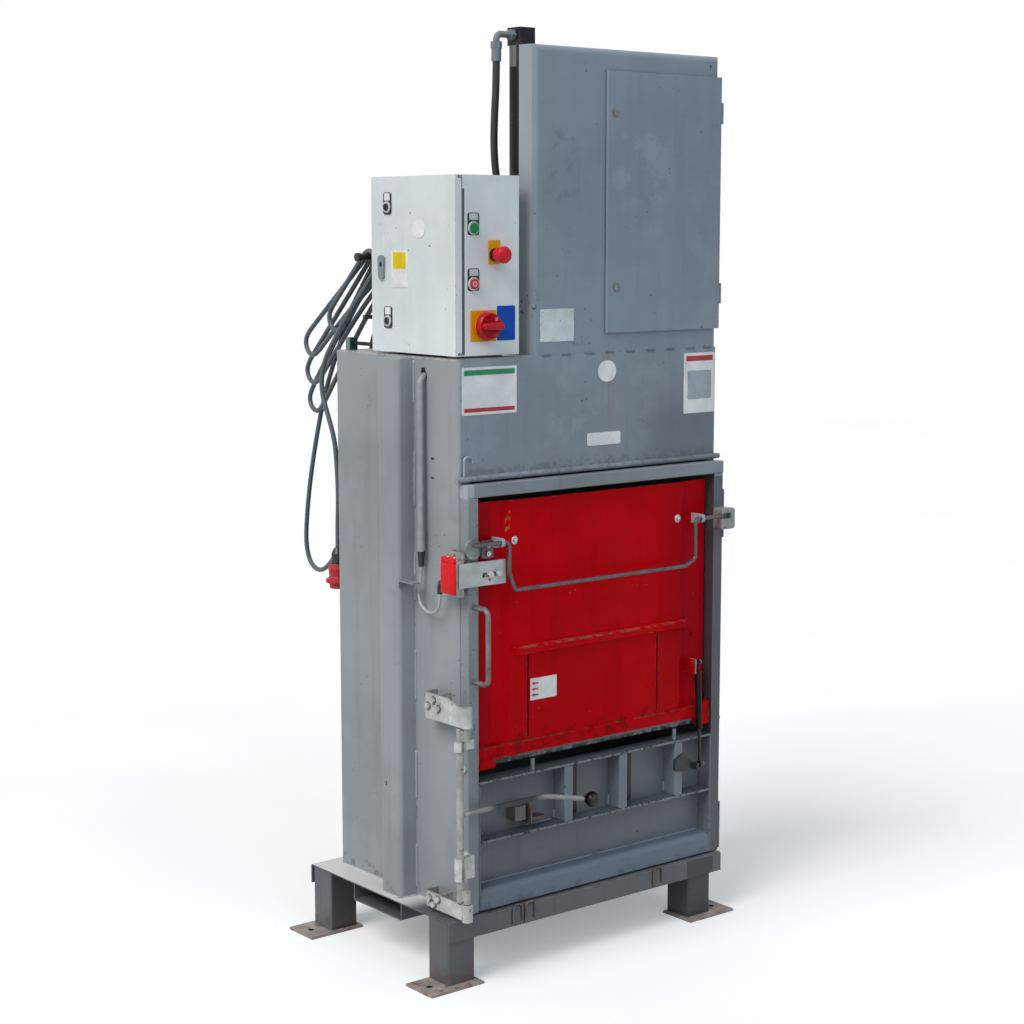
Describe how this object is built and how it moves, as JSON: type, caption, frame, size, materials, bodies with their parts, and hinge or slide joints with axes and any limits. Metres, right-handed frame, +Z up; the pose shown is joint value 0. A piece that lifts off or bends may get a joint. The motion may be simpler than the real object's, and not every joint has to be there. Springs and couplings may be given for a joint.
{
  "type": "recycling baler",
  "caption": "Vertical baling press with a red tipping flap in a swinging door, a tower with a hydraulic cylinder, a control box and a coiled supply cable",
  "frame": {"origin": "bottom centre of the bounding box without the supply cable, on the floor under the feet", "axes": "+Z up, +X to the right along the front, the door faces -Y"},
  "size_m": [0.954, 0.8811, 2.192],
  "materials": {
    "grey_paint": "light grey machine paint, scuffed",
    "box_paint": "pale grey enclosure paint",
    "red_paint": "glossy red, chipped at the edges",
    "worn_plate": "bare worn steel with rust",
    "galvanised": "galvanised, dull",
    "steel": "bright steel",
    "black_paint": "black paint",
    "black_plastic": "black plastic",
    "red_plastic": "red plastic",
    "green_plastic": "green plastic",
    "yellow_plastic": "yellow plastic",
    "cable_rubber": "grey black rubber",
    "pale_rubber": "pale grey sleeve"
  },
  "bodies": {
    "frame": {"base_tray": "grey_paint", "legs": "grey_paint", "foot_plates": "worn_plate", "wire_loops": "steel", "wall_left": "grey_paint", "chamber_walls": "grey_paint", "side_post": "grey_paint", "top_plate": "grey_paint", "collar": "grey_paint", "tower_cover": "grey_paint", "fixed_hinges": "grey_paint", "cylinder": "black_paint", "hydraulic_hose": "cable_rubber", "power_unit": "black_paint", "control_box": "box_paint", "box_fittings": "galvanised", "panel_plates": "yellow_plastic", "box_internals": "galvanised", "conduit": "galvanised", "wall_brackets": "galvanised", "safety_switch": "red_plastic", "switch_flex": "pale_rubber", "strap_eyes": "galvanised", "cable_hook": "black_plastic", "cable_hank": "cable_rubber", "cable_drop": "cable_rubber", "cable_tail": "cable_rubber", "plug": "red_plastic"},
    "main_door": {"door_stile_left": "grey_paint", "door_stile_right": "grey_paint", "door_rail_top": "grey_paint", "door_lower_panel": "grey_paint", "door_ribs": "grey_paint", "door_sill": "grey_paint", "d_handle": "steel", "door_hinges": "grey_paint", "door_catches": "galvanised", "crank_lugs": "galvanised", "flap_pivots": "galvanised"},
    "flap": {"flap_panel": "red_paint", "flap_rail": "red_paint", "flap_lugs": "red_paint", "actuator_bracket": "galvanised"},
    "bail": {"bail": "galvanised"},
    "strut_tube": {"strut_tube": "black_paint"},
    "strut_rod": {"strut_rod": "steel"},
    "lock_crank": {"lock_crank": "galvanised"},
    "ram": {"ram": "steel"},
    "service_door": {"service_door": "grey_paint"},
    "lock_low": {"lock_low": "steel"},
    "lock_high": {"lock_high": "steel"},
    "control_door": {"control_door": "box_paint"},
    "key_turn_1": {"key_turn_1": "steel"},
    "key_turn_2": {"key_turn_2": "steel"},
    "box_lock": {"box_lock": "steel"},
    "button_green": {"button_green": "green_plastic"},
    "button_red": {"button_red": "red_plastic"},
    "stop_button": {"stop_button": "red_plastic"},
    "main_switch": {"main_switch": "red_plastic"}
  },
  "joints": [
    {"name": "main_door_hinge", "type": "hinge", "parent": "frame", "child": "main_door", "pos_m": [0.46, -0.19, 0.6], "axis": [0, 0, 1], "range_deg": [0, 110]},
    {"name": "flap_tip", "type": "hinge", "parent": "main_door", "child": "flap", "pos_m": [0, -0.214, 0.5], "axis": [1, 0, 0], "range_deg": [0, 75]},
    {"name": "bail_lift", "type": "hinge", "parent": "flap", "child": "bail", "pos_m": [0, -0.251, 1.018], "axis": [1, 0, 0], "range_deg": [-100, 0]},
    {"name": "strut_tube_pivot", "type": "hinge", "parent": "flap", "child": "strut_tube", "pos_m": [0.37, -0.226, 0.6535], "axis": [1, 0, 0], "range_deg": [-60, 5]},
    {"name": "strut_rod_pivot", "type": "hinge", "parent": "main_door", "child": "strut_rod", "pos_m": [0.37, -0.24, 0.398], "axis": [1, 0, 0], "range_deg": [-5, 60]},
    {"name": "lock_crank_turn", "type": "hinge", "parent": "main_door", "child": "lock_crank", "pos_m": [-0.389, -0.25, 0.4], "axis": [0, 0, 1], "range_deg": [-160, 0]},
    {"name": "ram_stroke", "type": "slide", "parent": "frame", "child": "ram", "axis": [0, 0, -1], "range_m": [0, 0.65]},
    {"name": "service_door_hinge", "type": "hinge", "parent": "frame", "child": "service_door", "pos_m": [0.4555, -0.199, 1.75], "axis": [0, 0, 1], "range_deg": [0, 110]},
    {"name": "hatch_lock_low", "type": "hinge", "parent": "service_door", "child": "lock_low", "pos_m": [0.111, -0.205, 1.582], "axis": [0, 1, 0], "range_deg": [0, 90]},
    {"name": "hatch_lock_high", "type": "hinge", "parent": "service_door", "child": "lock_high", "pos_m": [0.106, -0.205, 1.985], "axis": [0, 1, 0], "range_deg": [0, 90]},
    {"name": "control_door_hinge", "type": "hinge", "parent": "frame", "child": "control_door", "pos_m": [-0.3345, -0.1835, 1.636], "axis": [0, 0, 1], "range_deg": [0, 110]},
    {"name": "key_low_turn", "type": "hinge", "parent": "control_door", "child": "key_turn_1", "pos_m": [-0.349, 0.068, 1.507], "axis": [1, 0, 0], "range_deg": [0, 90]},
    {"name": "key_high_turn", "type": "hinge", "parent": "control_door", "child": "key_turn_2", "pos_m": [-0.349, 0.068, 1.767], "axis": [1, 0, 0], "range_deg": [0, 90]},
    {"name": "box_lock_turn", "type": "hinge", "parent": "control_door", "child": "box_lock", "pos_m": [-0.349, 0.091, 1.636], "axis": [1, 0, 0], "range_deg": [0, 90]},
    {"name": "green_push", "type": "slide", "parent": "frame", "child": "button_green", "axis": [0, 1, 0], "range_m": [0, 0.004], "stiffness_N_per_m": 800, "springref_m": -0.001},
    {"name": "red_push", "type": "slide", "parent": "frame", "child": "button_red", "axis": [0, 1, 0], "range_m": [0, 0.004], "stiffness_N_per_m": 800, "springref_m": -0.001},
    {"name": "stop_push", "type": "slide", "parent": "frame", "child": "stop_button", "axis": [0, 1, 0], "range_m": [0, 0.004]},
    {"name": "main_switch_turn", "type": "hinge", "parent": "frame", "child": "main_switch", "pos_m": [-0.269, -0.2, 1.502], "axis": [0, 1, 0], "range_deg": [-90, 0]}
  ],
  "couplings": [
    {"joint": "strut_rod_pivot", "follows": "flap_tip", "ratio": 0.6197},
    {"joint": "strut_tube_pivot", "follows": "flap_tip", "ratio": -0.3803}
  ]
}
